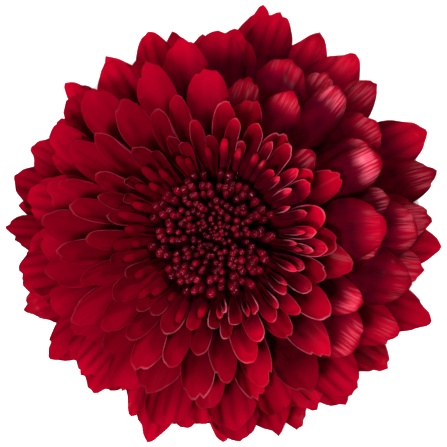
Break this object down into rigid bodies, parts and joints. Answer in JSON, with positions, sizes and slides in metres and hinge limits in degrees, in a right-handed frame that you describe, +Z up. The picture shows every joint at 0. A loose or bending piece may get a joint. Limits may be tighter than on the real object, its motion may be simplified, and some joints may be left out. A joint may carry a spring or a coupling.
{
  "type": "cut chrysanthemum bloom",
  "caption": "Large deep red chrysanthemum bloom lying face up: whorls of broad rays round a disc of closed florets, a green cup of bracts and a short cut stem.",
  "frame": {"origin": "on the surface that the bloom lies on, under the middle of its outline", "axes": "+Z up along the flower's axis, out of its face; +X and +Y across the face"},
  "size_m": [0.1098, 0.1102, 0.0423],
  "materials": {
    "ray_petal": "satin, finely striated",
    "disc_floret": "glossy, waxy",
    "green_bract": "dull, downy",
    "green_stem": "dull, ribbed"
  },
  "bodies": {
    "root": {"ray_florets": "ray_petal", "disc_florets": "disc_floret", "involucre": "green_bract", "stem": "green_stem"}
  },
  "joints": []
}
